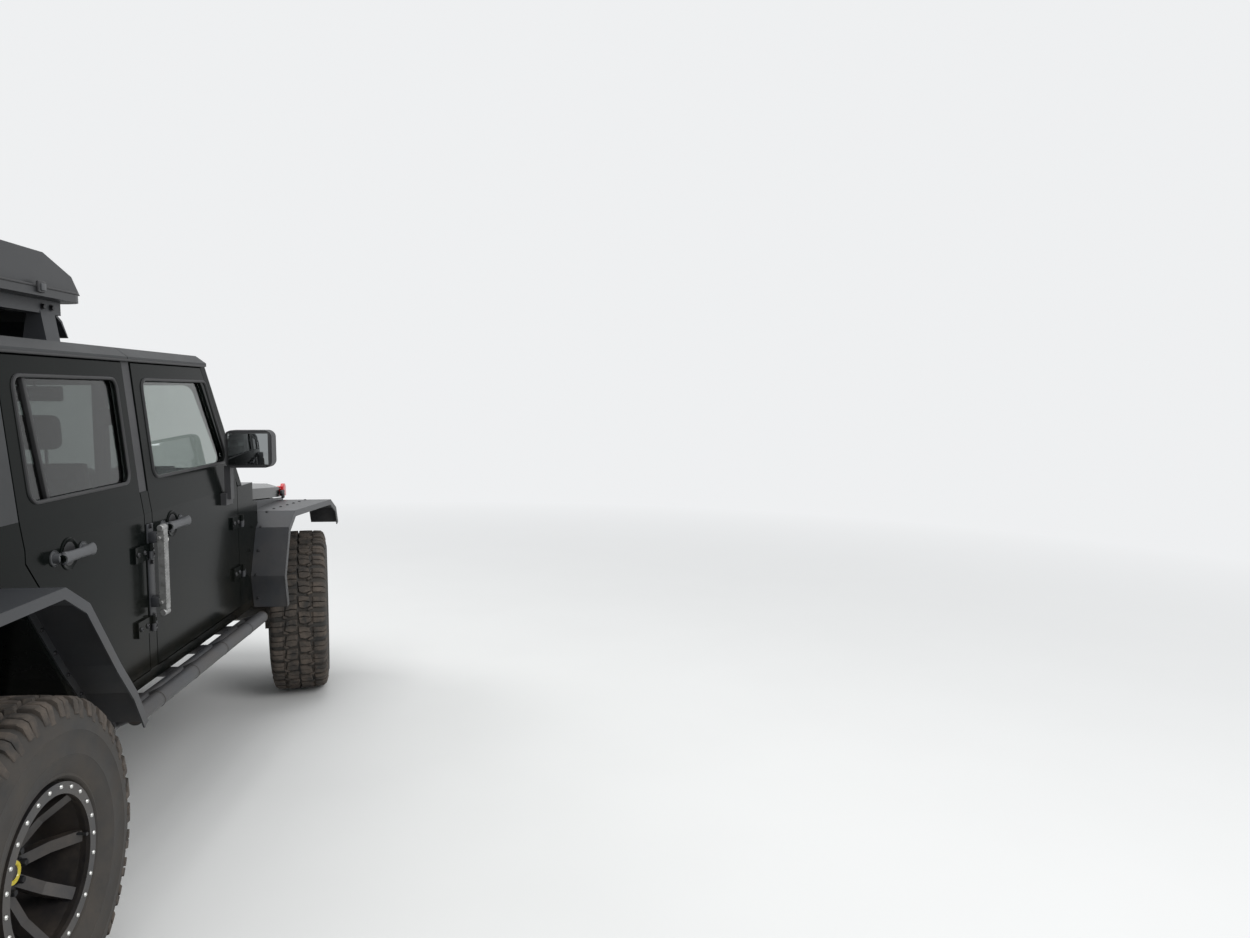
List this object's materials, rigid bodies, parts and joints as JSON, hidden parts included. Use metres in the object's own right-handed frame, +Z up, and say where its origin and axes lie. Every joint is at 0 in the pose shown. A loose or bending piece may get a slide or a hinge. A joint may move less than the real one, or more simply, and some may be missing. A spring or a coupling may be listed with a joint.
{
  "type": "lifted off-road 4x4",
  "caption": "Lifted off-road wagon with hinged doors, mud tyres, steel flares, rock sliders, spare on the tailgate, and a roof rack under a hard shell",
  "frame": {"origin": "on the ground under the middle of the overall length and width", "axes": "+X forward, +Y to the vehicle's left, +Z up"},
  "size_m": [4.766, 2.1594, 2.2503],
  "materials": {
    "chassis_black": "satin",
    "gloss_black": "gloss",
    "textured_black": "textured",
    "powder_black": "satin powder coat",
    "cast_grey": "cast",
    "bare_steel": "worn",
    "worn_aluminium": "worn",
    "spring_black": "satin",
    "tyre_rubber": "dusty",
    "wheel_black": "satin",
    "tinted_glass": "tinted",
    "lamp_glass": "clear",
    "lamp_red": "gloss",
    "seat_black": "grained",
    "trim_black": "grained",
    "shell_black": "satin"
  },
  "bodies": {
    "chassis": {"ladder_frame": "chassis_black", "front_axle": "cast_grey", "rear_axle": "cast_grey", "link_arms": "chassis_black", "springs": "spring_black", "engine": "cast_grey", "driveline": "cast_grey", "exhaust": "bare_steel", "body_tub": "gloss_black", "cargo_floor": "gloss_black", "rear_quarters": "gloss_black", "body_hinges": "powder_black", "windshield_frame": "gloss_black", "windshield_glass": "tinted_glass", "roof_panels": "textured_black", "hardtop": "textured_black", "hardtop_glass": "tinted_glass", "sport_bar": "trim_black", "front_fenders": "powder_black", "rear_flares": "powder_black", "grille": "gloss_black", "headlamps": "lamp_glass", "front_bumper": "powder_black", "rear_bumper": "powder_black", "rock_sliders": "powder_black", "front_seats": "seat_black", "rear_seat": "seat_black", "dashboard": "trim_black", "roof_rack": "powder_black", "roof_shell": "shell_black", "tail_lamps": "lamp_red", "hinge_steps": "worn_aluminium"},
    "knuckle_right": {"knuckle_right": "cast_grey"},
    "wheel_front_right": {"tyre_front_right": "tyre_rubber", "rim_front_right": "wheel_black"},
    "wheel_rear_right": {"tyre_rear_right": "tyre_rubber", "rim_rear_right": "wheel_black"},
    "door_front_right": {"door_front_right": "gloss_black", "door_glass_front_right": "tinted_glass", "mirror_right": "textured_black"},
    "door_rear_right": {"door_rear_right": "gloss_black", "door_glass_rear_right": "tinted_glass"},
    "knuckle_left": {"knuckle_left": "cast_grey"},
    "wheel_front_left": {"tyre_front_left": "tyre_rubber", "rim_front_left": "wheel_black"},
    "wheel_rear_left": {"tyre_rear_left": "tyre_rubber", "rim_rear_left": "wheel_black"},
    "door_front_left": {"door_front_left": "gloss_black", "door_glass_front_left": "tinted_glass", "mirror_left": "textured_black"},
    "door_rear_left": {"door_rear_left": "gloss_black", "door_glass_rear_left": "tinted_glass"},
    "tie_rod": {"tie_rod": "bare_steel"},
    "drag_link": {"drag_link": "bare_steel"},
    "pitman_arm": {"pitman_arm": "cast_grey"},
    "steering_wheel": {"steering_wheel": "trim_black"},
    "hood": {"hood": "gloss_black"},
    "tailgate": {"tailgate": "gloss_black", "tyre_spare": "tyre_rubber", "rim_spare": "wheel_black"}
  },
  "joints": [
    {"name": "steer_right", "type": "hinge", "parent": "chassis", "child": "knuckle_right", "pos_m": [1.643, -0.715, 0.4675], "axis": [0, 0, 1], "range_deg": [-45, 19]},
    {"name": "spin_front_right", "type": "hinge", "parent": "knuckle_right", "child": "wheel_front_right", "pos_m": [1.67112, -0.8368, 0.4675], "axis": [-0.225, 0.9744, 0], "continuous": true},
    {"name": "spin_rear_right", "type": "hinge", "parent": "chassis", "child": "wheel_rear_right", "pos_m": [-1.365, -0.84, 0.4675], "axis": [0, 1, 0], "continuous": true},
    {"name": "door_front_right_hinge", "type": "hinge", "parent": "chassis", "child": "door_front_right", "pos_m": [0.75284, -0.811, 0.9], "axis": [0, 0, 1], "range_deg": [0, 65]},
    {"name": "door_rear_right_hinge", "type": "hinge", "parent": "chassis", "child": "door_rear_right", "pos_m": [-0.287, -0.811, 0.9], "axis": [0, 0, 1], "range_deg": [0, 68]},
    {"name": "steer_left", "type": "hinge", "parent": "chassis", "child": "knuckle_left", "pos_m": [1.643, 0.715, 0.4675], "axis": [0, 0, 1], "range_deg": [-45, 19]},
    {"name": "spin_front_left", "type": "hinge", "parent": "knuckle_left", "child": "wheel_front_left", "pos_m": [1.61488, 0.8368, 0.4675], "axis": [-0.225, 0.9744, 0], "continuous": true},
    {"name": "spin_rear_left", "type": "hinge", "parent": "chassis", "child": "wheel_rear_left", "pos_m": [-1.365, 0.84, 0.4675], "axis": [0, 1, 0], "continuous": true},
    {"name": "door_front_left_hinge", "type": "hinge", "parent": "chassis", "child": "door_front_left", "pos_m": [0.75284, 0.811, 0.9], "axis": [0, 0, -1], "range_deg": [0, 65]},
    {"name": "door_rear_left_hinge", "type": "hinge", "parent": "chassis", "child": "door_rear_left", "pos_m": [-0.287, 0.811, 0.9], "axis": [0, 0, -1], "range_deg": [0, 68]},
    {"name": "tie_rod_pivot", "type": "hinge", "parent": "knuckle_right", "child": "tie_rod", "pos_m": [1.78428, -0.68238, 0.3822], "axis": [0, 0, 1], "range_deg": [-19, 45]},
    {"name": "drag_link_pivot", "type": "hinge", "parent": "knuckle_right", "child": "drag_link", "pos_m": [1.78428, -0.68238, 0.4325], "axis": [0, 0, 1], "range_deg": [-19, 45]},
    {"name": "pitman_arm_pivot", "type": "hinge", "parent": "chassis", "child": "pitman_arm", "pos_m": [1.709, 0.395, 0.58], "axis": [0, 0, 1], "range_deg": [-45, 19]},
    {"name": "steering_wheel_turn", "type": "hinge", "parent": "chassis", "child": "steering_wheel", "pos_m": [0.50597, 0.372, 1.16101], "axis": [-0.9135, 0, 0.4067], "range_deg": [-630, 266]},
    {"name": "hood_hinge", "type": "hinge", "parent": "chassis", "child": "hood", "pos_m": [0.974, 0, 1.314], "axis": [0, -1, 0], "range_deg": [0, 60]},
    {"name": "tailgate_hinge", "type": "hinge", "parent": "chassis", "child": "tailgate", "pos_m": [-2.005, -0.65, 1.1], "axis": [0, 0, 1], "range_deg": [0, 85]}
  ],
  "couplings": [
    {"joint": "steer_left", "follows": "steer_right", "ratio": 1},
    {"joint": "tie_rod_pivot", "follows": "steer_right", "ratio": -1},
    {"joint": "drag_link_pivot", "follows": "steer_right", "ratio": -1},
    {"joint": "pitman_arm_pivot", "follows": "steer_right", "ratio": 1},
    {"joint": "steering_wheel_turn", "follows": "steer_right", "ratio": 14}
  ]
}
